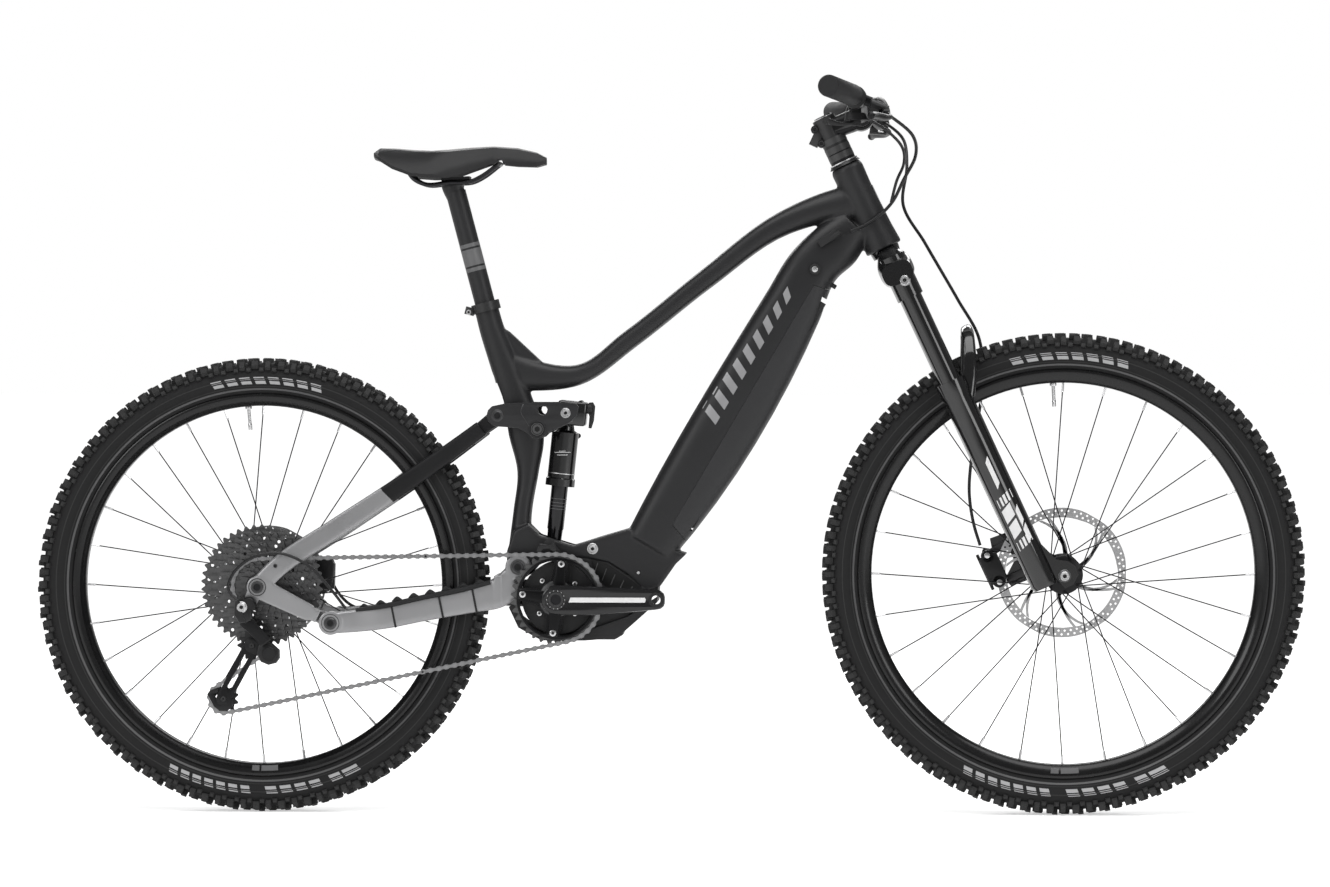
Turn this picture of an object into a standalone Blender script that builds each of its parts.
"""Full-suspension electric mountain bike, modelled as separate parts.

Metres, +Z up, +X forward, +Y to the bike's left, so the chain side is -Y.
The origin is on the ground, midway between the tyres' front and rear edges.
Lengths below are in millimetres and are turned to metres when meshes are made.
"""

import math
from types import SimpleNamespace

import bmesh
import bpy
from mathutils import Matrix, Vector

MM = 0.001
CORE = 0.01  # innermost radius of a solid turned piece, welded shut by bake()
SHARP_ANGLE = 40  # degrees; edges bent more than this stay sharp

UP = Vector((0, 0, 1))
LEFT = Vector((0, 1, 0))

# Wheels and rotors
FRONT_TYRE_RADIUS = 374.0
REAR_TYRE_RADIUS = 354.5
FRONT_AXLE = (614.25, 0.0, FRONT_TYRE_RADIUS)
REAR_AXLE = (-633.75, 0.0, REAR_TYRE_RADIUS)
FRONT_ROTOR_Y = 38.5
REAR_ROTOR_Y = 61.0

# Steering axis
HEAD_TOP = (275.9, 0.0, 1009.1)
HEAD_ANGLE = 65.0
HEAD_LENGTH = 143.0
HEAD_COS = math.cos(math.radians(HEAD_ANGLE))
HEAD_SIN = math.sin(math.radians(HEAD_ANGLE))
STEER_DOWN = (HEAD_COS, 0.0, -HEAD_SIN)
STEER_UP = tuple(-part for part in STEER_DOWN)
STEER_AHEAD = (HEAD_SIN, 0.0, HEAD_COS)

# Seat axis
SEAT_ANGLE = 75.2
SEAT_TOP = (-286.4, 0.0, 794.9)
SEAT_COS = math.cos(math.radians(SEAT_ANGLE))
SEAT_SIN = math.sin(math.radians(SEAT_ANGLE))
SEAT_DOWN = (SEAT_COS, 0.0, -SEAT_SIN)
SEAT_UP = tuple(-part for part in SEAT_DOWN)
SEAT_AHEAD = (SEAT_SIN, 0.0, SEAT_COS)

# Pivots, hanger and bottom bracket
BOTTOM_BRACKET = (-170.1, 0.0, 336.2)
MAIN_PIVOT = (-231.8, 0.0, 384.5)
HORST_PIVOT = (-520.2, 0.0, 299.0)
STAY_PIVOT = (-263.6, 0.0, 620.0)
ROCKER_PIVOT = (-201.4, 0.0, 599.1)
SHOCK_TOP = (-157.4, 0.0, 624.1)
SHOCK_BOTTOM = (-179.3, 0.0, 415.3)
HANGER = (-646.7, 0.0, 328.3)

# Material: base colour, metallic, roughness
MATERIALS = {
    "black": ((0.022, 0.022, 0.023), 0.0, 0.42),
    "battery": ((0.035, 0.035, 0.036), 0.0, 0.5),
    "grey": ((0.28, 0.28, 0.285), 0.35, 0.38),
    "rubber": ((0.02, 0.02, 0.02), 0.0, 0.85),
    "gloss": ((0.012, 0.012, 0.013), 0.1, 0.15),
    "steel": ((0.45, 0.45, 0.46), 1.0, 0.32),
    "dark_steel": ((0.09, 0.09, 0.1), 1.0, 0.4),
    "alloy": ((0.05, 0.05, 0.052), 0.8, 0.4),
    "plastic": ((0.03, 0.03, 0.03), 0.0, 0.55),
}

for old in list(bpy.data.objects):
    bpy.data.objects.remove(old, do_unlink=True)

bike = bpy.data.collections.new("mountain_bike")
bpy.context.scene.collection.children.link(bike)
scrap = bpy.data.collections.new("cutters")
bpy.context.scene.collection.children.link(scrap)


# ---------------------------------------------------------------- objects and meshes
def material(kind):
    found = bpy.data.materials.get(kind)
    if found:
        return found
    colour, metallic, roughness = MATERIALS[kind]
    made = bpy.data.materials.new(kind)
    made.use_nodes = True
    inputs = made.node_tree.nodes["Principled BSDF"].inputs
    inputs["Base Color"].default_value = (*colour, 1.0)
    inputs["Metallic"].default_value = metallic
    inputs["Roughness"].default_value = roughness
    return made


def finish(name, obj, kind):
    """Name the piece, move it to the bike's collection and give it its material."""
    scrap.objects.unlink(obj)
    bike.objects.link(obj)
    obj.name = name
    obj.data.name = name
    obj.data.materials.clear()
    obj.data.materials.append(material(kind))
    obj.data.shade_smooth()
    obj.data.set_sharp_from_angle(angle=math.radians(SHARP_ANGLE))


def to_object(data):
    obj = bpy.data.objects.new("piece", data)
    scrap.objects.link(obj)
    return obj


def from_builder(builder):
    """Turn a bmesh into an object and free it."""
    mesh = bpy.data.meshes.new("piece")
    builder.to_mesh(mesh)
    builder.free()
    return to_object(mesh)


def closed(builder):
    """Object from a closed bmesh, with its normals facing out."""
    bmesh.ops.recalc_face_normals(builder, faces=builder.faces)
    return from_builder(builder)


def bake(obj):
    """Apply the modifiers, or turn a curve into a welded mesh."""
    bpy.context.view_layer.update()
    graph = bpy.context.evaluated_depsgraph_get()
    mesh = bpy.data.meshes.new_from_object(obj.evaluated_get(graph))
    mesh.transform(obj.matrix_world)
    builder = bmesh.new()
    builder.from_mesh(mesh)
    bmesh.ops.remove_doubles(builder, verts=builder.verts, dist=0.00002)
    bmesh.ops.dissolve_degenerate(builder, edges=builder.edges, dist=0.00001)
    bpy.data.objects.remove(obj, do_unlink=True)
    return from_builder(builder)


def boolean(target, others, operation):
    for other in others:
        modifier = target.modifiers.new("Boolean", "BOOLEAN")
        modifier.operation = operation
        modifier.solver = "EXACT"
        modifier.object = other
        target = bake(target)
        bpy.data.objects.remove(other, do_unlink=True)
    return target


def union(first, *others):
    return boolean(first, others, "UNION")


def cut(target, *others):
    return boolean(target, others, "DIFFERENCE")


def common(target, other):
    return boolean(target, [other], "INTERSECT")


def mirror_copy(obj):
    mesh = obj.data.copy()
    mesh.transform(Matrix.Scale(-1, 4, (0, 1, 0)))
    mesh.flip_normals()
    return to_object(mesh)


def mirrored(obj):
    """The piece moved to the other side of the bike."""
    out = mirror_copy(obj)
    bpy.data.objects.remove(obj, do_unlink=True)
    return out


def with_mirror(obj):
    """The piece and its mirror image joined as one body; the halves must overlap."""
    return union(obj, mirror_copy(obj))


def join(objects):
    builder = bmesh.new()
    for obj in objects:
        builder.from_mesh(obj.data)
        bpy.data.objects.remove(obj, do_unlink=True)
    return from_builder(builder)


# ---------------------------------------------------------------- points and outlines
def offset(point, *steps):
    """The point moved by (distance, direction) steps."""
    out = Vector(point)
    for distance, way in steps:
        out = out + Vector(way) * distance
    return out


def steer(along, ahead=0.0, y=0.0):
    """Point `along` below the top of the head tube, `ahead` of the steering axis."""
    return offset(HEAD_TOP, (along, STEER_DOWN), (ahead, STEER_AHEAD), (y, LEFT))


def seat(along, ahead=0.0):
    """Point `along` below the seat tube's top, `ahead` of the seatpost axis."""
    return offset(SEAT_TOP, (along, SEAT_DOWN), (ahead, SEAT_AHEAD))


def polar(centre, radius, angle):
    """X and Z of a point round a centre given as (x, z) or (x, y, z)."""
    return (centre[0] + radius * math.cos(angle), centre[-1] + radius * math.sin(angle))


def arc(centre, radius, degrees):
    return [polar(centre, radius, math.radians(angle)) for angle in degrees]


def circle(centre, radius, count, start=0.0):
    return [polar(centre, radius, start + 2 * math.pi * i / count) for i in range(count)]


def capsule(centre_a, centre_b, radius_a, radius_b, steps):
    """Outline round two circles in the X-Z plane."""
    across_x = centre_b[0] - centre_a[0]
    across_z = centre_b[-1] - centre_a[-1]
    base = math.atan2(across_z, across_x)
    tilt = math.acos((radius_a - radius_b) / math.hypot(across_x, across_z))
    round_a = [polar(centre_a, radius_a, base + tilt + (2 * math.pi - 2 * tilt) * i / steps)
               for i in range(steps + 1)]
    round_b = [polar(centre_b, radius_b, base - tilt + 2 * tilt * i / steps)
               for i in range(steps + 1)]
    return round_a + round_b


def side_view(points):
    return [(point.x, point.z) for point in points]


def both_sides(half):
    """Profile of (radius, height) pairs followed by its reflection in height zero."""
    return half + [(radius, -height) for radius, height in half[::-1]]


def ring_section(inner, outer, start, end):
    return [(inner, start), (outer, start), (outer, end), (inner, end)]


def pitched(degrees):
    """Rotation about the Y axis."""
    return Matrix.Rotation(math.radians(degrees), 3, "Y")


def facing(way):
    """Rotation that takes +X to `way`, which lies in the X-Z plane, and keeps Y."""
    way = Vector(way)
    return Matrix((way, LEFT, way.cross(LEFT))).transposed()


def basis(axis):
    """Rotation that takes +Z to the axis."""
    return UP.rotation_difference(Vector(axis).normalized()).to_matrix().to_4x4()


# ---------------------------------------------------------------- shapes
def cylinder(start, end, radius, sides=12):
    start, end = Vector(start), Vector(end)
    builder = bmesh.new()
    bmesh.ops.create_cone(builder, cap_ends=True, cap_tris=False, segments=sides,
                          radius1=radius * MM, radius2=radius * MM,
                          depth=(end - start).length * MM)
    place = Matrix.Translation((start + end) / 2 * MM) @ basis(end - start)
    bmesh.ops.transform(builder, matrix=place, verts=builder.verts)
    return closed(builder)


def across(point, y_start, y_end, radius, sides=12):
    """Cylinder along Y through the point's X and Z."""
    x, z = point[0], point[-1]
    return cylinder((x, y_start, z), (x, y_end, z), radius, sides)


def ball(centre, radius):
    builder = bmesh.new()
    bmesh.ops.create_uvsphere(builder, u_segments=10, v_segments=5, radius=radius * MM)
    bmesh.ops.translate(builder, vec=Vector(centre) * MM, verts=builder.verts)
    return closed(builder)


def box(centre, size, rotation=None):
    builder = bmesh.new()
    bmesh.ops.create_cube(builder, size=1.0)
    bmesh.ops.scale(builder, vec=Vector(size) * MM, verts=builder.verts)
    if rotation is not None:
        bmesh.ops.transform(builder, matrix=rotation.to_4x4(), verts=builder.verts)
    bmesh.ops.translate(builder, vec=Vector(centre) * MM, verts=builder.verts)
    return closed(builder)


def turned(profile, centre, axis=(0, -1, 0), steps=16):
    """Closed profile of (radius, height) pairs, spun about the axis."""
    builder = bmesh.new()
    verts = [builder.verts.new((radius * MM, 0.0, height * MM)) for radius, height in profile]
    for i, vert in enumerate(verts):
        builder.edges.new((vert, verts[(i + 1) % len(verts)]))
    obj = from_builder(builder)
    screw = obj.modifiers.new("Screw", "SCREW")
    screw.axis = "Z"
    screw.angle = 2 * math.pi
    screw.steps = steps
    screw.render_steps = steps
    screw.use_merge_vertices = True
    screw.merge_threshold = 0.00001
    screw.use_normal_calculate = True
    obj.matrix_world = Matrix.Translation(Vector(centre) * MM) @ basis(axis)
    out = bake(obj)
    builder = bmesh.new()
    builder.from_mesh(out.data)
    bmesh.ops.recalc_face_normals(builder, faces=builder.faces)
    builder.to_mesh(out.data)
    builder.free()
    return out


def turned_solid(profile, centre, axis=(0, -1, 0)):
    """Turned piece whose profile is closed along the axis."""
    return turned([(CORE, profile[0][1]), *profile, (CORE, profile[-1][1])], centre, axis)


def add_spline(curve, points):
    """Add a polyline of points already in metres."""
    spline = curve.splines.new("POLY")
    spline.points.add(len(points) - 1)
    for i, point in enumerate(points):
        spline.points[i].co = (*point, 1.0)
    return spline


def tube(points, radius, resolution=2):
    curve = bpy.data.curves.new("tube", "CURVE")
    curve.dimensions = "3D"
    curve.bevel_depth = radius * MM
    curve.bevel_resolution = resolution
    curve.use_fill_caps = True
    curve.twist_mode = "MINIMUM"
    add_spline(curve, [Vector(point) * MM for point in points])
    return bake(to_object(curve))


def plate(outline, y_start, y_end, holes=()):
    """Flat piece with its outline in X and Z, from y_start to y_end."""
    curve = bpy.data.curves.new("plate", "CURVE")
    curve.dimensions = "2D"
    curve.fill_mode = "BOTH"
    curve.extrude = abs(y_end - y_start) / 2 * MM
    for loop in (outline, *holes):
        spline = add_spline(curve, [(x * MM, z * MM, 0.0) for x, z in loop])
        spline.use_cyclic_u = True
    obj = to_object(curve)
    upright = Matrix(((1, 0, 0, 0), (0, 0, -1, 0), (0, 1, 0, 0), (0, 0, 0, 1)))
    obj.matrix_world = Matrix.Translation((0, (y_start + y_end) / 2 * MM, 0)) @ upright
    return bake(obj)


def skinned(builder, rings):
    """Close the skin over rings of vertices."""
    count = len(rings[0])
    for near, far in zip(rings, rings[1:]):
        for i in range(count):
            j = (i + 1) % count
            builder.faces.new((near[i], near[j], far[j], far[i]))
    builder.faces.new(rings[0][::-1])
    builder.faces.new(rings[-1])
    return closed(builder)


def loft(stations, sides=12, power=2.0):
    """Skin over oval sections: (centre, direction, half width, half depth[, power]).

    Width runs in Y, or ahead of the steering axis where the direction is close to Y.
    A power of 2 gives an ellipse and a higher one a squarer section.
    """
    builder = bmesh.new()
    rings = []
    for centre, direction, half_width, half_depth, *own_power in stations:
        exponent = 2 / (own_power[0] if own_power else power)
        direction = Vector(direction).normalized()
        side = LEFT if abs(direction.y) < 0.9 else Vector(STEER_AHEAD)
        side = (side - direction * side.dot(direction)).normalized()
        depth_way = direction.cross(side).normalized()
        ring = []
        for i in range(sides):
            angle = 2 * math.pi * (i + 0.5) / sides
            cosine, sine = math.cos(angle), math.sin(angle)
            width = math.copysign(abs(cosine) ** exponent, cosine) * half_width
            depth = math.copysign(abs(sine) ** exponent, sine) * half_depth
            ring.append(builder.verts.new((Vector(centre) + side * width + depth_way * depth) * MM))
        rings.append(ring)
    return skinned(builder, rings)


# ---------------------------------------------------------------- main frame
TUBE_WAY = (0.508, 0.0, 0.8613)
TUBE_OUT = (TUBE_WAY[2], 0.0, -TUBE_WAY[0])
TUBE_TOP_FACE = -280.0
TUBE_LOW_FACE = -187.0
TUBE_HALF_Y = 38.0
COVER_SEAM = -222.0
COVER_FROM = 381.0
COVER_TO = 832.0
COVER_GAP = 0.3
POST_RADIUS = 15.8
ROCKER_BORE = 6.3
MAIN_BORE = 8.3

HEAD_PROFILE = [(23, 0.0), (25.5, -8), (24.5, -40), (27, -112), (29.5, -HEAD_LENGTH)]
TOP_TUBE = [
    ((292, 0, 951), (1, 0, 0.42), 19, 30),
    ((250, 0, 944), (1, 0, 0.47), 21, 25),
    ((180, 0, 919), (0.85, 0, 0.5), 22, 19, 2.6),
    ((60, 0, 833), (0.8, 0, 0.6), 22, 15.5, 3),
    ((-60, 0, 738), (0.8, 0, 0.6), 22, 15, 3),
    ((-140, 0, 683), (0.95, 0, 0.2), 20, 16, 2.6),
    ((-215, 0, 683), (1, 0, -0.05), 17, 25, 2.4),
    ((-250, 0, 690), (1, 0, -0.2), 14, 30, 2.4),
]
SEAT_TUBE = [
    (seat(4), SEAT_DOWN, 18.6, 18.6),
    (seat(40), SEAT_DOWN, 18.8, 19.5),
    ((-258, 0, 705), SEAT_DOWN, 19.5, 22, 2.2),
    ((-238, 0, 648), SEAT_DOWN, 20, 24, 2.4),
    ((-221, 0, 585), (0.1, 0, -1), 20, 27, 2.4),
    ((-219, 0, 533), (0.0, 0, -1), 20, 17, 2.4),
    ((-227.5, 0, 470), (-0.1, 0, -1), 22, 14.5, 2.6),
    ((-232, 0, 415), (0, 0, -1), 24, 17, 3),
]
# Outlines in X and Z
GUSSET = [(-262, 757), (-249, 752), (-190, 697), (-205, 668), (-250, 690)]
MOTOR_BRACKET = [
    (-256, 392), (-240, 440), (-217, 451), (-200, 434), (-146, 417.5), (-104, 431), (-60, 444),
    (-30, 420), (30, 405), (12, 388), (-13, 352), (-34, 346), (-62, 372), (-92, 391),
    (-128, 398), (-165, 399), (-200, 388), (-214, 372), (-232, 364), (-250, 372),
]


def on_tube(out, along):
    """Point in the down tube's frame: out through its lower face, along up its length."""
    return offset((0, 0, 0), (out, TUBE_OUT), (along, TUBE_WAY))


def down_tube():
    middle = (TUBE_TOP_FACE + TUBE_LOW_FACE) / 2
    half = (TUBE_LOW_FACE - TUBE_TOP_FACE) / 2
    return loft([
        (on_tube(middle - 3, 345), TUBE_WAY, 36, half - 6, 3.6),
        (on_tube(middle, 400), TUBE_WAY, TUBE_HALF_Y, half, 3.6),
        (on_tube(middle, 780), TUBE_WAY, TUBE_HALF_Y, half, 3.6),
        (on_tube(middle - 4, 850), (0.56, 0, 0.83), 35, half - 6, 3.2),
        ((262, 0, 886), (0.66, 0, 0.75), 30, 40, 3.0),
        ((291, 0, 916), (0.72, 0, 0.69), 23, 31, 2.4),
    ])


def battery_space(gap=0.0):
    """Block round the cover: the lower part of the tube, longer outside than inside."""
    outside = COVER_SEAM + 47
    return plate(side_view([
        on_tube(COVER_SEAM + gap, COVER_FROM + 11 + 1.6 * gap),
        on_tube(outside, COVER_FROM - 6.6 + 2 * gap),
        on_tube(outside, COVER_TO + 3.9 - 2 * gap),
        on_tube(COVER_SEAM + gap, COVER_TO - 8 - 1.6 * gap),
    ]), -60, 60)


def bay(out_start, out_end, half_y, start, end):
    """Block square to the down tube; start and end are places along it."""
    return box(on_tube((out_start + out_end) / 2, (start + end) / 2),
               (out_end - out_start, 2 * half_y, end - start), facing(TUBE_OUT))


def main_frame():
    body = cut(down_tube(), battery_space(),
               bay(-268, COVER_SEAM + 9, 31, COVER_FROM + 16, COVER_TO - 16))
    body = union(body, turned_solid(HEAD_PROFILE, HEAD_TOP, STEER_UP),
                 loft(TOP_TUBE), loft(SEAT_TUBE),
                 plate(GUSSET, -8, 8), plate(MOTOR_BRACKET, -30, 30),
                 across(ROCKER_PIVOT, -21.5, 21.5, 13), across(MAIN_PIVOT, -24, 24, 20))
    # shock cradle, open between its two ears
    body = cut(body, box((-170, 0, 440), (66, 27, 78)))
    # bores for the steerer, seatpost and pivots, then the trimmed back of the main pivot
    body = cut(body,
               cylinder(steer(-5), steer(HEAD_LENGTH + 5), 17.5),
               cylinder(seat(-20), seat(255), POST_RADIUS + 1.0),
               across(ROCKER_PIVOT, -40, 40, ROCKER_BORE),
               across(MAIN_PIVOT, -60, 60, MAIN_BORE),
               box((-257, 0, 385), (14, 80, 80)))
    # lower and upper headset recesses
    return cut(body, cylinder(steer(HEAD_LENGTH - 7), steer(HEAD_LENGTH + 5), 25.2),
               cylinder(steer(-5), steer(5), 20.2))


# ---------------------------------------------------------------- motor and battery
# Outlines in X and Z
MOTOR_NOSE = [(-150, 391), (-128, 396), (-93, 389), (-64, 370), (-37, 345), (-21, 347),
              (-19, 341), (-64, 313), (-150, 300)]
MOTOR_COVER = [
    (-62, 307), (-13, 337), (-9, 350), (8, 351), (-10, 330), (-50, 299), (-66, 285),
    (-92, 273), (-128, 270), (-196, 270), (-232, 290), (-247, 322), (-238, 326), (-229, 304),
    (-210, 290), (-190, 279.3), (-150, 279.0), (-120, 287),
]


def motor():
    body = union(plate(circle(BOTTOM_BRACKET, 56, 24), -40, 40), plate(MOTOR_NOSE, -29, 29))
    return cut(body, across(BOTTOM_BRACKET, -80, 80, 12.6))


def motor_cover():
    return plate(MOTOR_COVER, -36, 36)


def battery_cover():
    shell = common(down_tube(), battery_space(COVER_GAP))
    return cut(shell, bay(COVER_SEAM - 10, TUBE_LOW_FACE - 4, 30.5,
                          COVER_FROM + 17, COVER_TO - 17))


def battery_pack():
    return bay(-264, TUBE_LOW_FACE - 4.4, 29, COVER_FROM + 22, COVER_TO - 24)


# ---------------------------------------------------------------- seat clamp, post and saddle
POST_TOP = -180.0
POST_LENGTH = 305
POST_BORE = 12.5
RAIL_Y = 22.0
RAIL_RADIUS = 3.5
RAIL_END = (-263, 1012)
# Rail path: x, share of RAIL_Y, z
RAIL = [(-404, 1.35, 1000), (-396, 1.35 * 0.98, 989), (-379, 1, 980.2), (-340, 1, 982.7),
        (-304, 1, 985.0), (-290, 0.95, 992), (RAIL_END[0], 0.75, RAIL_END[1])]
# Saddle sections: x, half width, underside centre, top centre, edge height
SADDLE = [
    (-457, 34, 1018, 1030, 1024), (-448, 58, 1015, 1037, 1018), (-425, 70, 1013, 1036.5, 1003),
    (-395, 72, 1014, 1034, 992), (-370, 66, 1014, 1033, 990), (-340, 48, 1015, 1035, 990),
    (-310, 33, 1016, 1037.5, 1000), (-272, 25, 1017, 1039.5, 1013),
    (-235, 21, 1015, 1037, 1009), (-205, 19, 1010, 1030, 1008), (-190, 11, 1010, 1022, 1013),
]


def seat_clamp():
    ring = cut(cylinder(seat(-1), seat(13), 22.3), cylinder(seat(-8), seat(20), 20.0))
    ear_centre = seat(6, -26)
    ear = cut(box(ear_centre, (14, 16, 12), pitched(90 - SEAT_ANGLE)),
              cylinder(seat(-8), seat(20), 20.2))
    return cut(union(ring, ear), box(ear_centre, (30, 1.6, 40)))


def seatpost():
    post = turned_solid([(POST_RADIUS, 0), (POST_RADIUS, -POST_LENGTH),
                         (POST_BORE, -POST_LENGTH), (POST_BORE, -20)], seat(POST_TOP), SEAT_UP)
    head = loft([(seat(POST_TOP + 14), SEAT_DOWN, 14, 14.8),
                 (seat(POST_TOP - 8), SEAT_DOWN, 15, 19, 2.6),
                 ((-331, 0, 982), (0.05, 0, -1), 15, 24, 3)])
    post = union(post, head, box((-331, 0, 986), (44, 38, 11), pitched(-3)))
    for side in (-1, 1):
        y = side * RAIL_Y
        post = cut(post, cylinder((-380, y, 980.2), (-280, y, 986.6), 5.2))
    return post


def saddle_rails():
    left, right = ([(x, side * RAIL_Y * share, z) for x, share, z in RAIL] for side in (1, -1))
    return union(tube(left, RAIL_RADIUS), tube(right, RAIL_RADIUS),
                 across(RAIL_END, -19, 19, 3.6))


def saddle():
    builder = bmesh.new()
    rings = []
    for x, half_width, low, top, edge in SADDLE:
        ring = []
        for share in (-1, -0.88, -0.5, 0, 0.5, 0.88, 1):
            z = top - (top - edge - 4) * abs(share) ** 3.2
            ring.append(builder.verts.new(Vector((x, share * half_width, z)) * MM))
        for share in (1, 0.6, 0, -0.6, -1):
            z = low + (edge - 1 - low) * abs(share) ** 3
            ring.append(builder.verts.new(Vector((x, share * half_width * 0.97, z)) * MM))
        rings.append(ring)
    # hollows for the rails, at their front ends and rear ends
    return cut(skinned(builder, rings), across(RAIL_END, -24, 24, 6.5),
               box((-402, 30, 1001), (16, 12, 24)), box((-402, -30, 1001), (16, 12, 24)),
               box((-270, 16, 1006), (26, 12, 14)), box((-270, -16, 1006), (26, 12, 14)))


# ---------------------------------------------------------------- fork and steering
LEG_Y = 67.0
LEG_AHEAD = 5.0
LEG_TOP = 372.0
LEG_BOTTOM = 722.0
LEG_FLOOR = 704.0  # bottom of the bore in each lower leg
STANCHION_RADIUS = 17.0
STANCHION_TOP = 175
STANCHION_BOTTOM = 560.0
STANCHION_BORE = 14
SLIDE_RADIUS = STANCHION_RADIUS + 0.6

# Crown sections: along, ahead, y, half width, half depth, power
CROWN = [(187, 2, -90, 24, 17, 3), (180, 3, -66, 27, 21, 3), (168, 2, -30, 20, 23, 3),
         (163, 0, 0, 17, 28, 2.6),
         (168, 2, 30, 20, 23, 3), (180, 3, 66, 27, 21, 3), (187, 2, 90, 24, 17, 3)]
# Radius and height up the steering axis
CROWN_RACE = [(22, 0), (23.0, -3), (23.2, -8), (22, -16)]
HEADSET = [(14.8, 40), (20, 40), (20, 5), (22, 5), (25.3, 0.4), (19.2, 0.4), (19.2, -4.6),
           (14.8, -4.6)]
LOWER_LEG = [(19, -LEG_BOTTOM), (21.5, -LEG_BOTTOM + 8), (22, -480), (22.5, -400),
             (24.5, -392), (24.5, -LEG_TOP), (SLIDE_RADIUS, -LEG_TOP), (SLIDE_RADIUS, -LEG_FLOOR)]
# Right half of the arch: along, ahead, distance from the centre, direction, half depth
ARCH = [(402, LEG_AHEAD + 12, LEG_Y, (0.05, -0.1, 1), 15), (378, 34, 60, (0, 0.1, 1), 13),
        (340, 52, 46, (0, 0.5, 1), 11), (318, 61, 22, (0, 0.96, 0.3), 10)]
ARCH_HALF_WIDTH = 9
# Outlines: along the leg, ahead of it
DROPOUT = [(655, 19.5), (690, 32), (700, 48), (712, 55), (726, 53), (736, 40), (736, 26),
           (716, 19.5)]
POST_MOUNT = [(626, -19.5), (624, -46), (640, -50), (650, -26), (672, -26), (692, -52),
              (706, -47), (708, -17)]
# Radius and distance to the right
FRONT_AXLE_PROFILE = [(9.5, 79.5), (9.5, 77.4), (7.5, 77.4), (7.5, -76)]


def leg(along, side, ahead=0.0):
    return steer(along, LEG_AHEAD + ahead, side * LEG_Y)


def leg_outline(points, side):
    return side_view([leg(along, side, ahead) for along, ahead in points])


def fork_upper():
    crown = loft([(steer(along, ahead, y), LEFT, width, depth, power)
                  for along, ahead, y, width, depth, power in CROWN])
    fork = union(crown, cylinder(steer(-84), steer(175), 14.3),
                 turned_solid(CROWN_RACE, steer(HEAD_LENGTH - 5), STEER_UP))
    depth = STANCHION_BOTTOM - STANCHION_TOP
    stanchion = [(STANCHION_RADIUS, 0), (STANCHION_RADIUS, -depth),
                 (STANCHION_BORE, -depth), (STANCHION_BORE, -18)]
    for side in (-1, 1):
        fork = union(fork, turned_solid(stanchion, leg(STANCHION_TOP, side), STEER_UP),
                     cylinder(leg(160, side), leg(229, side), 20.5))
    return cut(fork, cylinder(steer(-90), steer(140), 11.5))


def headset_stack():
    return turned(HEADSET, HEAD_TOP, STEER_UP)


def lower_leg(side):
    return union(turned_solid(LOWER_LEG, leg(0, side), STEER_UP),
                 plate(leg_outline(DROPOUT, side), side * 55.3, side * 77))


def fork_arch():
    right = [(steer(along, ahead, -y), way, ARCH_HALF_WIDTH, depth)
             for along, ahead, y, way, depth in ARCH]
    left = [(steer(along, ahead, y), (way[0], way[1], -way[2]), ARCH_HALF_WIDTH, depth)
            for along, ahead, y, way, depth in ARCH[::-1]]
    middle = (steer(314, 63), LEFT, ARCH_HALF_WIDTH, 10)
    arch = loft([*right, middle, *left], sides=8, power=3)
    for side in (-1, 1):
        arch = cut(arch, cylinder(leg(300, side), leg(500, side), 20))
    return arch


def fork_lowers():
    body = union(lower_leg(-1), lower_leg(1), fork_arch(),
                 plate(leg_outline(POST_MOUNT, 1), 51, 63))
    return cut(body, across(FRONT_AXLE, -90, 90, 7.9))


def front_axle():
    return turned_solid(FRONT_AXLE_PROFILE, FRONT_AXLE)


def rotor_slot(axle, y, inner, outer):
    """Slot that a brake rotor runs in."""
    return turned(ring_section(inner, outer, 3, -3), (axle[0], y, axle[2]), steps=32)


def front_caliper():
    centre = steer(668, -56)
    body = box((centre.x, FRONT_ROTOR_Y, centre.z), (66, 23.5, 34), facing(STEER_DOWN))
    body = union(body, across(centre, 40, 53.5, 13))
    return cut(body, rotor_slot(FRONT_AXLE, FRONT_ROTOR_Y, 60, 103.5))


# ---------------------------------------------------------------- cockpit
BAR_RADIUS = 11.1
BAR_CENTRE = steer(-57, 53)
# Right half of the bar, as offsets from its centre
BAR = [BAR_CENTRE + Vector(step) for step in (
    (0, 0, 0), (0, -45, 0), (-0.5, -95, 6.8), (-2, -140, 14.8), (-6, -200, 18.8),
    (-10, -250, 21.0), (-46.2, -383, 28.3))]
SLEEVE_BORE = 11.5
GRIP_START = 256
GRIP_END = 383
GRIP_RADIUS = 16.5
GRIP_BORE = 11.6
GRIP_CAP = 3.5  # length of the grip past the end of the bar
GRIP_CAP_WALL = 2.5


def along_bar(reach):
    """Point and direction on the right half of the bar at distance reach from the centre."""
    for near, far in zip(BAR, BAR[1:]):
        if -far.y >= reach >= -near.y:
            share = (reach + near.y) / (near.y - far.y)
            return near + (far - near) * share, (far - near).normalized()


def off_bar(reach, ahead=0.0, up=0.0):
    """Point off the right half of the bar, moved in X and Z."""
    return along_bar(reach)[0] + Vector((ahead, 0, up))


TANK_END = off_bar(160, 40, -18)
LEVER_PIVOT = off_bar(236, 45, -26)
SHIFT_PIVOT = off_bar(196, -2, -38)
BARREL_END = off_bar(172, 14, -27)


def stem():
    low, high = steer(-40.4), steer(-81)
    body = union(
        cylinder(low, high, 18.5),
        loft([(steer(-60, 5), STEER_AHEAD, 17, 16), (steer(-57, 52), STEER_AHEAD, 22, 18)],
             power=3),
        across(BAR_CENTRE, -23, 23, 20.5),
        box(steer(-60, -19), (14, 22, 36), pitched(90 - HEAD_ANGLE)))
    return cut(body, cylinder(steer(-30), steer(-90), 15.0), across(BAR_CENTRE, -40, 40, 16.6))


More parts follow.
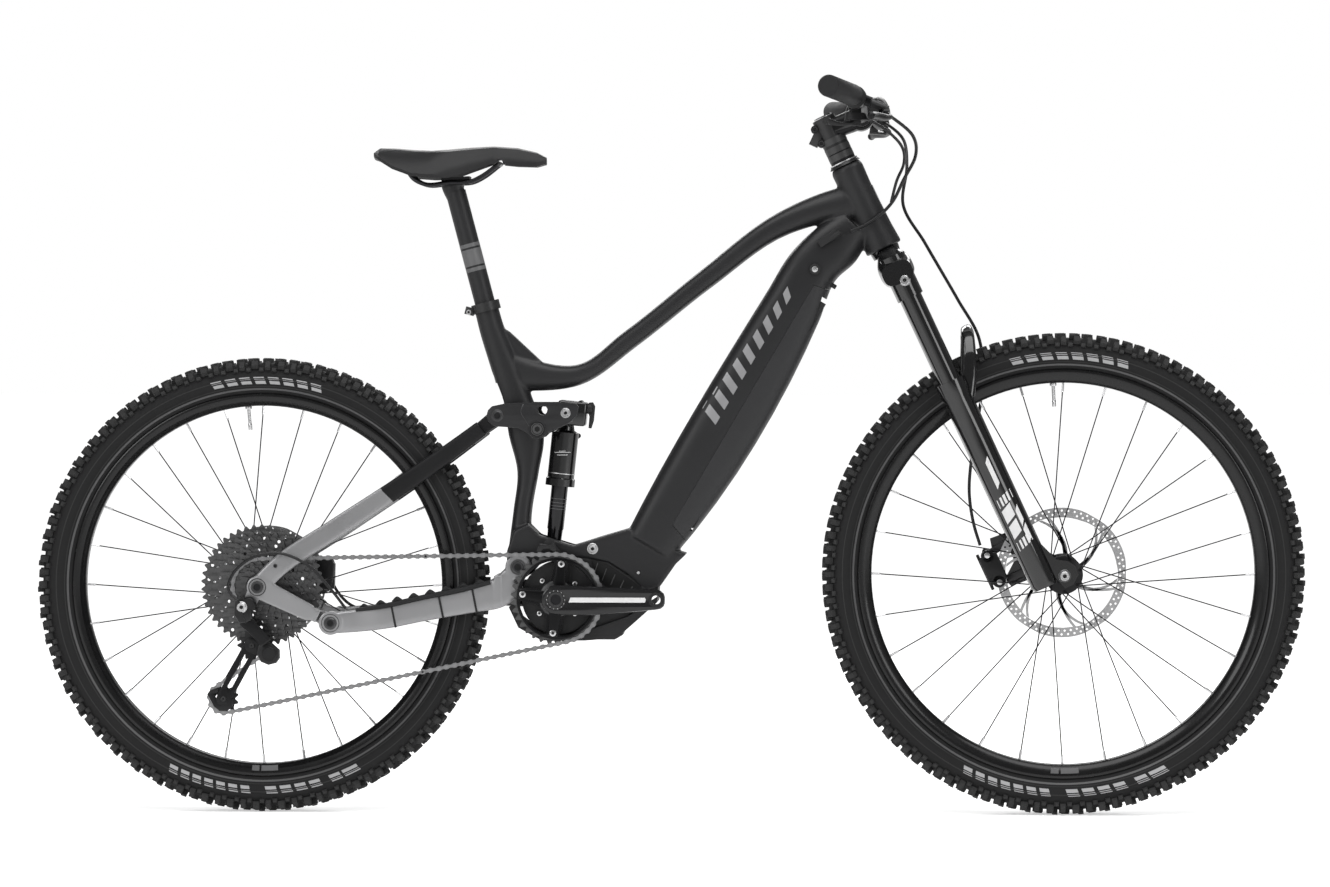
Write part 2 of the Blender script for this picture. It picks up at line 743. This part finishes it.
def handlebar():
    left = [(point.x, -point.y, point.z) for point in BAR[:0:-1]]
    return union(tube(left + BAR, BAR_RADIUS), across(BAR_CENTRE, -38, 38, 15.8))


def bar_sleeve(start, end, radius):
    first, way = along_bar(start)
    length = (along_bar(end)[0] - first).length
    return turned(ring_section(SLEEVE_BORE, radius, 0, length), first, way)


def grip():
    first, way = along_bar(GRIP_START)
    length = (along_bar(GRIP_END)[0] - first).length + GRIP_CAP
    floor = length - GRIP_CAP_WALL
    return turned([(GRIP_BORE, 0), (GRIP_RADIUS * 0.94, 0), (GRIP_RADIUS, 3),
                   (GRIP_RADIUS, length - 3), (GRIP_RADIUS * 0.9, length), (CORE, length),
                   (CORE, floor), (GRIP_BORE, floor)], first, way)


def brake_body():
    arm = loft([(off_bar(222, 12, -3), (1, 0, -0.4), 7.5, 8),
                (off_bar(222, 27, -9), (1, 0, -0.4), 8, 8)], sides=8, power=3)
    tank_way = (-0.1, -1, 0.1)
    tank = loft([(TANK_END, tank_way, 8, 9, 2.4), (off_bar(172, 38, -16), tank_way, 10.5, 12),
                 (off_bar(226, 33, -12), tank_way, 10, 12),
                 (off_bar(238, 31, -12), tank_way, 7, 9)], sides=10, power=2.6)
    lug = loft([(off_bar(236, 24, -19), (1, 0, -0.15), 9, 17),
                (off_bar(238, 51, -26), (1, 0, -0.15), 7.5, 11.5)], sides=8, power=3)
    # the slot across the lug takes the lever
    return cut(union(tank, arm, bar_sleeve(214, 230, 17), lug),
               box(off_bar(246, 58, -26.5), (42, 40, 13.6)))


def brake_lever():
    tip = off_bar(344, 52, -40)
    blade = loft([(LEVER_PIVOT, (0.2, -1, 0), 5, 3.4),
                  (off_bar(252, 54, -32), (0.2, -1, 0), 5, 3.4),
                  (off_bar(280, 57, -36), (0.0, -1, 0), 4.2, 5),
                  (off_bar(318, 51, -37), (-0.1, -1, 0), 4, 5.6),
                  (tip, (0.1, -1, 0), 4, 5)], sides=8, power=2.6)
    eye = cylinder(LEVER_PIVOT - UP * 4.1, LEVER_PIVOT + UP * 4.1, 6.5)
    return union(blade, eye, ball(tip, 6))


def shifter_body():
    body = loft([(off_bar(196, -2, -21), (0, 0, -1), 16, 15),
                 (off_bar(196, 0, -32), (0, 0, -1), 20, 19)], sides=10, power=3)
    return union(body, bar_sleeve(190, 202, 16), box(off_bar(196, 0, -18), (14, 11, 12)),
                 cylinder(BARREL_END, off_bar(184, 10, -27), 3.6, sides=10))


def shift_paddle():
    blade = loft([(SHIFT_PIVOT + UP * 1.7, (-1, -0.4, 0), 7, 3.4),
                  (SHIFT_PIVOT + Vector((-26, -16, 0)), (-1, -0.6, 0.1), 7, 3.2),
                  (SHIFT_PIVOT + Vector((-44, -30, 4)), (-1, -0.5, 0.3), 9, 5.5)],
                 sides=8, power=3)
    return union(blade, cylinder(SHIFT_PIVOT - UP * 2.4, SHIFT_PIVOT + UP * 5.4, 9))


def remote():
    body = union(bar_sleeve(192, 204, 15.5), box(off_bar(192, -5, 17), (26, 34, 12)))
    return mirrored(cut(body, cylinder(off_bar(170), off_bar(215), 12.0),
                        box(off_bar(192, -8, 22), (12.6, 20.6, 7.4))))


def remote_button():
    return mirrored(box(off_bar(192, -8, 22.9), (12, 20, 6)))


# ---------------------------------------------------------------- wheels
TYRE_HALF = 32.0
WHEEL_STEPS = 36
SPOKES = 28
SPOKE_RADIUS = 1.1
SPOKE_HUB_RADIUS = 28.5
SPOKE_LEAN = math.radians(48)
SPOKE_STAGGER = 4.0
SPOKE_RIM_Y = 3.0
HUB_BORE = 8.1
ROTOR_HALF = 0.9
ROTOR_ARM_HALF = 0.8
ROTOR_ARMS = 5

# Hub profiles: radius, y
FRONT_HUB = [
    (HUB_BORE, -54.7), (11, -54.7), (12, -44), (16, -38), (30, -35.5), (30, -32.5), (15, -26),
    (14, 12), (30, 18), (30, 21), (20, 23), (20, 36.9), (12, 37.3), (11, 54.7), (HUB_BORE, 54.7),
]
REAR_HUB = [
    (HUB_BORE, -23.2), (20, -23.2), (30, -21.5), (30, -18.5), (14, -14), (14, 27), (30, 31.5),
    (30, 34.5), (20, 36), (20, 59), (12, 59.4), (12, 73.6), (HUB_BORE, 73.6),
]
# spoke_rows holds the Y of the left and right rows at the hub
WHEELS = {
    "front": SimpleNamespace(
        axle=FRONT_AXLE, tyre_radius=FRONT_TYRE_RADIUS, bead_radius=311.0, rim_inner=297.0,
        hub=FRONT_HUB, spoke_rows=(19.5, -34.0), rotor_y=FRONT_ROTOR_Y, rotor_radius=101.5),
    "rear": SimpleNamespace(
        axle=REAR_AXLE, tyre_radius=REAR_TYRE_RADIUS, bead_radius=292.0, rim_inner=280.0,
        hub=REAR_HUB, spoke_rows=(33.0, -20.0), rotor_y=REAR_ROTOR_Y, rotor_radius=90.0),
}


def tyre(wheel):
    outer, bead = wheel.tyre_radius, wheel.bead_radius
    half = [(outer, 12), (outer - 20, TYRE_HALF), (bead + 12, 19), (bead + 7.7, 14.3),
            (bead + 0.3, 12), (bead + 0.3, 8), (bead + 13, 13), (outer - 24, TYRE_HALF - 4.5),
            (outer - 6, 10)]
    return turned(both_sides(half), wheel.axle, steps=WHEEL_STEPS)


def rim(wheel):
    bead = wheel.bead_radius
    half = [(bead - 2.6, 14.0), (bead + 7, 15), (bead + 7, 18.1), (wheel.rim_inner, 9)]
    return turned(both_sides(half), wheel.axle, steps=WHEEL_STEPS)


def hub(wheel):
    # the spin axis points to -Y, so each Y is turned into a height
    return turned([(radius, -y) for radius, y in wheel.hub], wheel.axle)


def spokes(wheel):
    rods = []
    per_row = SPOKES // 2
    for row, hub_y in enumerate(wheel.spoke_rows):
        rim_y = SPOKE_RIM_Y if row == 0 else -SPOKE_RIM_Y
        for i in range(per_row):
            turn = 1 if i % 2 else -1
            rim_angle = 2 * math.pi * (i + 0.5 * row) / per_row
            hub_x, hub_z = polar(wheel.axle, SPOKE_HUB_RADIUS, rim_angle + SPOKE_LEAN * turn)
            rim_x, rim_z = polar(wheel.axle, wheel.rim_inner - 2.2, rim_angle)
            rods.append(cylinder((hub_x, hub_y + SPOKE_STAGGER * turn, hub_z),
                                 (rim_x, rim_y, rim_z), SPOKE_RADIUS, sides=3))
    # thin band under the rim that ties the rods together
    half = [(wheel.rim_inner - 3.6, -6), (wheel.rim_inner - 1.4, -6)]
    return union(turned(both_sides(half), wheel.axle, steps=SPOKES), join(rods))


def rotor(wheel):
    """Braking ring, slanted arms and centre disc."""
    axle, radius, y = wheel.axle, wheel.rotor_radius, wheel.rotor_y
    low, high = y - ROTOR_HALF, y + ROTOR_HALF
    ring = plate(circle(axle, radius, 24), low, high, [circle(axle, radius - 15, 24, 0.01)])
    disc = plate(circle(axle, 30, 18), low, high, [circle(axle, 14, 12, 0.01)])
    for i in range(ROTOR_ARMS):
        angle = math.radians(360 / ROTOR_ARMS * i + 8)
        arm = capsule(polar(axle, 27, angle), polar(axle, radius - 12, angle + 0.5), 4.5, 3, 2)
        disc = union(disc, plate(arm, y - ROTOR_ARM_HALF, y + ROTOR_ARM_HALF))
    return union(ring, disc)


def freehub():
    return turned(ring_section(HUB_BORE, 12.4, 73.6, 24.0), REAR_AXLE)


# ---------------------------------------------------------------- cranks and chainring
CRANK_LENGTH = 155.0
RING_TEETH = 34
RING_RADIUS = 65
SPIDER_ARMS = 4


def chainring():
    ring = plate(circle(BOTTOM_BRACKET, RING_RADIUS, RING_TEETH), -52.4, -48.6,
                 [circle(BOTTOM_BRACKET, 54, 20, 0.02)])
    spider = plate(circle(BOTTOM_BRACKET, 25, 20), -56, -49.6,
                   [circle(BOTTOM_BRACKET, 12.5, 12, 0.02)])
    for i in range(SPIDER_ARMS):
        angle = math.radians(52 + 360 / SPIDER_ARMS * i)
        arm = capsule(polar(BOTTOM_BRACKET, 15, angle), polar(BOTTOM_BRACKET, 57, angle),
                      12, 6.5, 4)
        spider = union(spider, plate(arm, -55, -50.2))
    return cut(union(ring, spider), across(BOTTOM_BRACKET, -70, -40, 13))


def crank(side):
    """Crank arm; the right one (side -1) points forward and carries the spindle."""
    centre_x, _, centre_z = BOTTOM_BRACKET
    way = -side
    forward = capsule(BOTTOM_BRACKET, (centre_x + CRANK_LENGTH, centre_z), 22, 16, 8)
    outline = forward if way > 0 else [(2 * centre_x - x, z) for x, z in forward]
    arm = union(plate(outline, side * 74.5, side * 88),
                across(BOTTOM_BRACKET, side * 58.5, side * 80, 20))
    if side < 0:
        arm = union(arm, across(BOTTOM_BRACKET, side * 84, -side * 87, 11.9))
    else:
        arm = cut(arm, across(BOTTOM_BRACKET, side * 40, side * 100, 12.9))
    eye = (centre_x + way * CRANK_LENGTH, centre_z)
    return cut(arm, across(eye, side * 60, side * 100, 7))


def crank_arm_right():
    return crank(-1)


def crank_arm_left():
    return crank(1)


# ---------------------------------------------------------------- rear suspension
HORST_BORE = 6.2
REAR_AXLE_BORE = 6.6
# Right chainstay arm behind the main pivot
CHAINSTAY_ARM = [
    ((MAIN_PIVOT[0] - 6, -37, MAIN_PIVOT[2] - 22), (-0.9, 0, -0.5), 5.6, 25),
    ((-262, -37.5, 345), (-1, 0, -0.25), 5.6, 24),
    ((-300, -41.5, 333), (-1, 0, -0.22), 5.3, 19),
    ((-380, -47, 318), (-1, -0.05, -0.2), 5.5, 18),
    ((-440, -57, 306), (-1, -0.2, -0.2), 6.5, 17.5),
    ((-490, -73.2, 301), (-1, -0.1, -0.1), 7, 17),
    ((-507, -75.2, 300), (-1, 0, 0), 8.4, 16.8),
    ((-522, -75.2, 299), (-1, 0, 0), 8.4, 16.5),
]
# Right seatstay arm, from the rear axle upward
SEATSTAY_ARM = [
    ((-636, -79, 352), (1, 0, 1), 4.8, 15),
    ((-598, -78.5, 389), (1, 0.05, 0.75), 4.8, 15.5),
    ((-520, -64, 441), (1, 0.12, 0.62), 5.5, 15.5),
    ((-435, -46.5, 497), (1, 0.12, 0.65), 5.5, 15),
    ((-370, -41.6, 541), (1, 0.03, 0.68), 5.2, 14),
    ((-320, -38.5, 577), (1, 0.03, 0.7), 5.2, 13),
    ((-289, -38, 600), (1, 0, 0.74), 5.0, 12.5),
]
# Joins the upper arm to the tang at the rocker
STAY_BLOCK = [((-312, -31, 583), (1, 0, 0.74), 9, 11), ((-293, -29.5, 597), (1, 0, 0.74), 7, 10.5)]
# Side view of the rocker link
ROCKER = [
    *arc(STAY_PIVOT, 17, range(270, 119, -30)),
    (-252, 640), (-225, 641.5), (-150, 642), (-116, 641), (-110, 633), (-118, 618), (-150, 606),
    *arc(ROCKER_PIVOT, 15.5, range(-30, -151, -30)),
    (-232, 601),
]
# Axles: radius and distance to the right
MAIN_AXLE_HALF = [(12, -45.2), (12, -43), (7.7, -43)]
ROCKER_AXLE_HALF = [(10, -48.5), (10, -46.4), (5.8, -46.4), (5.8, -33.9), (10, -33.9),
                    (10, -22), (5.8, -22)]
REAR_AXLE_PROFILE = [(9.5, -88), (9.5, -84.4), (6.1, -84.4), (6.1, 83.5)]


def chainstay():
    half = union(across(MAIN_PIVOT, -31, -42.6, 20), loft(CHAINSTAY_ARM, sides=8, power=4),
                 across(HORST_PIVOT, -66.5, -84, 18.5), box((-264, -20, 349), (11, 48, 44)))
    half = cut(half, across(MAIN_PIVOT, -60, -20, MAIN_BORE),
               across(HORST_PIVOT, -100, -50, HORST_BORE))
    return with_mirror(half)


def main_pivot_axle():
    return turned_solid(both_sides(MAIN_AXLE_HALF), MAIN_PIVOT)


def seatstay():
    horst_x, _, horst_z = HORST_PIVOT
    dropout = plate(capsule(REAR_AXLE, (horst_x - 36.0, horst_z + 17.2), 17, 13, 6), -84, -74.2)
    step = box((horst_x - 25, -70.2, horst_z + 12), (12.5, 26.6, 19), pitched(26))
    tab = plate(capsule(HORST_PIVOT, (horst_x - 22, horst_z + 10.5), 14.5, 9, 5), -65.2, -57)
    tang = plate(capsule(STAY_PIVOT, (-302, 590.5), 12.5, 10, 6), -33.3, -22.8)
    half = union(dropout, step, tab, loft(SEATSTAY_ARM, sides=8, power=4), tang,
                 loft(STAY_BLOCK, sides=8, power=3), across((-331.5, 571), -42, 4, 8))
    half = cut(half, across(REAR_AXLE, -120, -20, REAR_AXLE_BORE),
               across(STAY_PIVOT, -60, -10, 7.2),
               across(HORST_PIVOT, -67, -40, HORST_BORE),
               across(STAY_PIVOT, -34.3, -60, 21.5))
    whole = with_mirror(half)
    hanger = plate(capsule((-637, 348), HANGER, 12, 9.5, 6), -84, -74.2)
    return cut(union(whole, hanger), across(REAR_AXLE, -120, 120, REAR_AXLE_BORE),
               across(HANGER, -100, -60, 4.6))


def rear_axle():
    return turned_solid(REAR_AXLE_PROFILE, REAR_AXLE)


def rear_caliper():
    body = box((-543, REAR_ROTOR_Y, 366), (36, 24, 58), pitched(-8))
    return cut(body, rotor_slot(REAR_AXLE, REAR_ROTOR_Y, 50, 92))


def rocker_link():
    side_plate = plate(ROCKER, -46, -34.3, [circle((-190, 625), 4.5, 8)])
    half = union(side_plate, across((-118, 632.5), -40, 4, 5.5), across(SHOCK_TOP, -36, -14, 7))
    return cut(with_mirror(half), across(ROCKER_PIVOT, -60, 60, 6.6))


def rocker_axle():
    return turned_solid(both_sides(ROCKER_AXLE_HALF), ROCKER_PIVOT)


# ---------------------------------------------------------------- shock
SHOCK_SPAN = Vector(SHOCK_TOP) - Vector(SHOCK_BOTTOM)
SHOCK_UP = SHOCK_SPAN.normalized()
SHOCK_LENGTH = SHOCK_SPAN.length
SHOCK_BORE = 5.2
# Radius, and distance below the upper eye
SHOCK_CAN = [(12, 18), (14, 27), (21, 31), (21, 102), (23, 104), (23, 115), (13.6, 115),
             (13.6, 42)]


def below_shock_top(distance):
    return offset(SHOCK_BOTTOM, (SHOCK_LENGTH - distance, SHOCK_UP))


SHOCK_LEVER_AXLE = below_shock_top(45)


def shock_can():
    can = turned_solid([(radius, SHOCK_LENGTH - below) for radius, below in SHOCK_CAN],
                       SHOCK_BOTTOM, SHOCK_UP)
    neck = loft([(below_shock_top(6), SHOCK_UP, 10, 9), (below_shock_top(24), SHOCK_UP, 11, 11)],
                sides=8, power=3)
    can = union(can, across(SHOCK_TOP, -12, 12, 11), neck)
    can = cut(can, across(SHOCK_TOP, -20, 20, SHOCK_BORE))
    return union(can, across(SHOCK_LEVER_AXLE, 19, 23.5, 8))


def shock_lever():
    x, _, z = SHOCK_LEVER_AXLE
    return plate(capsule((x, z), (x + 20, z + 8), 7, 4, 5), 24, 28)


def shock_shaft():
    shaft = turned_solid([(11, 6), (12, 26), (13, 28), (13, SHOCK_LENGTH - 100)],
                         SHOCK_BOTTOM, SHOCK_UP)
    shaft = union(shaft, across(SHOCK_BOTTOM, -12, 12, 10.5))
    return cut(shaft, across(SHOCK_BOTTOM, -20, 20, SHOCK_BORE))


# ---------------------------------------------------------------- cassette, derailleur and chain
# Cassette steps: distance to the right where each starts, radius
CASSETTE = [(66.4, 24), (58.8, 35), (54.1, 38.4), (46.4, 50), (38.0, 66), (31, 82), (26.6, 96)]
CASSETTE_END = 26.2
CASSETTE_BORE = 13.2
CAGE_PIVOT = (-616.8, 0.0, 249.9)
GUIDE = (-646.1, 0.0, 262.2)
TENSION = (-690.7, 0.0, 178.9)
LINK_WAY = (0.59, 0.22, -0.78)

CHAIN_PITCH = 12.7
CHAIN_Y = -50.4
CHAIN_HALF_WIDTH = 2.6
CHAIN_HALF_HEIGHT = 3.0
CHAIN_STEP = 14.0  # about the length of each straight piece round a wheel
COG_TEETH = 21
PULLEY_TEETH = 11


def cassette():
    profile = [(CASSETTE_BORE, CASSETTE[0][0])]
    ends = [start for start, _ in CASSETTE[1:]] + [CASSETTE_END]
    for (start, radius), end in zip(CASSETTE, ends):
        profile += [(radius, start), (radius, end)]
    return turned(profile + [(CASSETTE_BORE, CASSETTE_END)], REAR_AXLE)


def derailleur_body():
    arm = loft([((-648, -92, 325), (-0.4, 0, -1), 5.5, 10),
                ((-656, -92.5, 309), (-0.4, 0, -1), 5.5, 10)], sides=8, power=3)
    return union(turned_solid([(12, 98), (12, 84.6)], HANGER), arm,
                 across(HANGER, -90, -76, 4.2))


def derailleur_link():
    return loft([((-651.5, -83.8, 300), LINK_WAY, 3.0, 8),
                 ((-622.5, -79.6, 271), LINK_WAY, 2.6, 8)], sides=8, power=3)


def derailleur_knuckle():
    return turned_solid([(14, 76.2), (14, 60)], CAGE_PIVOT)


def derailleur_cage():
    outer = union(plate(capsule(GUIDE, TENSION, 12, 11, 6), -57.2, -55.4),
                  plate(capsule(CAGE_PIVOT, GUIDE, 12, 11, 6), -57.4, -55.2),
                  across(CAGE_PIVOT, -59.6, -56, 11))
    inner = plate(capsule(GUIDE, TENSION, 11.5, 10.5, 6), -45.6, -43.8)
    pins = [across(centre, -56.4, -44.6, 2.6, sides=8) for centre in (GUIDE, TENSION)]
    return union(outer, *pins, inner)


def pulley(centre):
    return turned(ring_section(3.2, 18.4, 53.2, 47.6), centre)


def pulley_upper():
    return pulley(GUIDE)


def pulley_lower():
    return pulley(TENSION)


def pitch_radius(teeth):
    return CHAIN_PITCH / (2 * math.sin(math.pi / teeth))


def chain_path():
    """Centre line of the chain in X and Z: chainring, cog, guide pulley, tension pulley."""
    # centre, pitch radius, turning sense of the path
    wheels = [(BOTTOM_BRACKET, pitch_radius(RING_TEETH), 1),
              (REAR_AXLE, pitch_radius(COG_TEETH), 1),
              (GUIDE, pitch_radius(PULLEY_TEETH), -1), (TENSION, pitch_radius(PULLEY_TEETH), 1)]
    count = len(wheels)
    leave, arrive = [None] * count, [None] * count
    for i, (centre, radius, sense) in enumerate(wheels):
        following = (i + 1) % count
        next_centre, next_radius, next_sense = wheels[following]
        run_x, run_z = next_centre[0] - centre[0], next_centre[2] - centre[2]
        ratio = (sense * radius - next_sense * next_radius) / math.hypot(run_x, run_z)
        angle = math.atan2(run_z, run_x) - math.acos(ratio)
        leave[i] = polar(centre, sense * radius, angle)
        arrive[following] = polar(next_centre, next_sense * next_radius, angle)
    path = []
    for (centre, radius, sense), first, last in zip(wheels, arrive, leave):
        start = math.atan2(first[1] - centre[2], first[0] - centre[0])
        end = math.atan2(last[1] - centre[2], last[0] - centre[0])
        sweep = (end - start) * sense % (2 * math.pi)
        steps = max(2, round(sweep * radius / CHAIN_STEP))
        path += [polar(centre, radius, start + sense * sweep * k / steps)
                 for k in range(steps + 1)]
    return path


def band(path, half):
    """The path moved out and in by half, as an outline and a hole."""
    outer, inner = [], []
    for i, (x, z) in enumerate(path):
        before, after = path[i - 1], path[(i + 1) % len(path)]
        run_x, run_z = after[0] - before[0], after[1] - before[1]
        length = math.hypot(run_x, run_z)
        out_x, out_z = run_z / length, -run_x / length
        outer.append((x + out_x * half, z + out_z * half))
        inner.append((x - out_x * half, z - out_z * half))
    return outer, inner


def chain():
    outer, inner = band(chain_path(), CHAIN_HALF_HEIGHT)
    return plate(outer, CHAIN_Y - CHAIN_HALF_WIDTH, CHAIN_Y + CHAIN_HALF_WIDTH, [inner])


# ---------------------------------------------------------------- hoses
# Paths from the brake bodies and the shifter
FRONT_BRAKE_HOSE = [
    (TANK_END.x + 1, -TANK_END.y - 4.5, TANK_END.z + 1),
    (346, 135, 1076), (368, 96, 1050), (372, 70, 1010), (366, 60, 950), (400, 56, 890),
    (452, 46, 800), (484, 38.2, 742), (488, 38.2, 650), (474, 38.4, 560), (470, 42, 495),
    (478, 44, 445), (487, 45, 416),
]
RIGHT_BRAKE_HOSE = [
    (TANK_END.x + 1, TANK_END.y + 4.5, TANK_END.z + 1),
    (352, -132, 1074), (380, -100, 1050), (384, -60, 1020), (366, -36, 985), (348, -31, 950),
    (322, -33, 925), (300, -36, 912), (284, -38, 906),
]
SHIFT_HOSE = [
    (BARREL_END.x + 0.6, BARREL_END.y + 1.4, BARREL_END.z),
    (338, -140, 1058), (362, -112, 1035), (366, -70, 1008), (355, -40, 982), (347, -31.5, 951),
]


def front_brake_hose():
    return tube(FRONT_BRAKE_HOSE, 2.5, resolution=0)


def control_hoses():
    return union(tube(RIGHT_BRAKE_HOSE, 2.6, resolution=0), tube(SHIFT_HOSE, 2.3, resolution=0))


# ---------------------------------------------------------------- assembly
# Each function builds the piece of the same name
PIECES = {
    "black": (main_frame, seat_clamp, seatpost, handlebar, rocker_link),
    "battery": (battery_cover,),
    "grey": (chainstay, seatstay),
    "rubber": (saddle, remote_button, front_brake_hose, control_hoses),
    "gloss": (fork_upper, fork_lowers, crank_arm_right, crank_arm_left, shock_can),
    "steel": (shock_shaft, cassette, chain),
    "dark_steel": (saddle_rails, front_axle, chainring, main_pivot_axle, rear_axle, rocker_axle),
    "alloy": (headset_stack, front_caliper, stem, freehub, rear_caliper, shock_lever,
              derailleur_body, derailleur_link, derailleur_knuckle, derailleur_cage),
    "plastic": (motor, motor_cover, battery_pack, shifter_body, shift_paddle, remote,
                pulley_upper, pulley_lower),
}
# Built on the right and mirrored to the left
PAIRS = ((grip, "rubber"), (brake_body, "alloy"), (brake_lever, "alloy"))
WHEEL_PIECES = ((tyre, "rubber"), (rim, "alloy"), (hub, "alloy"), (spokes, "dark_steel"),
                (rotor, "steel"))

for kind, builds in PIECES.items():
    for build in builds:
        finish(build.__name__, build(), kind)

for build, kind in PAIRS:
    finish(build.__name__ + "_right", build(), kind)
    finish(build.__name__ + "_left", mirrored(build()), kind)

for prefix, wheel in WHEELS.items():
    for build, kind in WHEEL_PIECES:
        finish(f"{prefix}_{build.__name__}", build(wheel), kind)
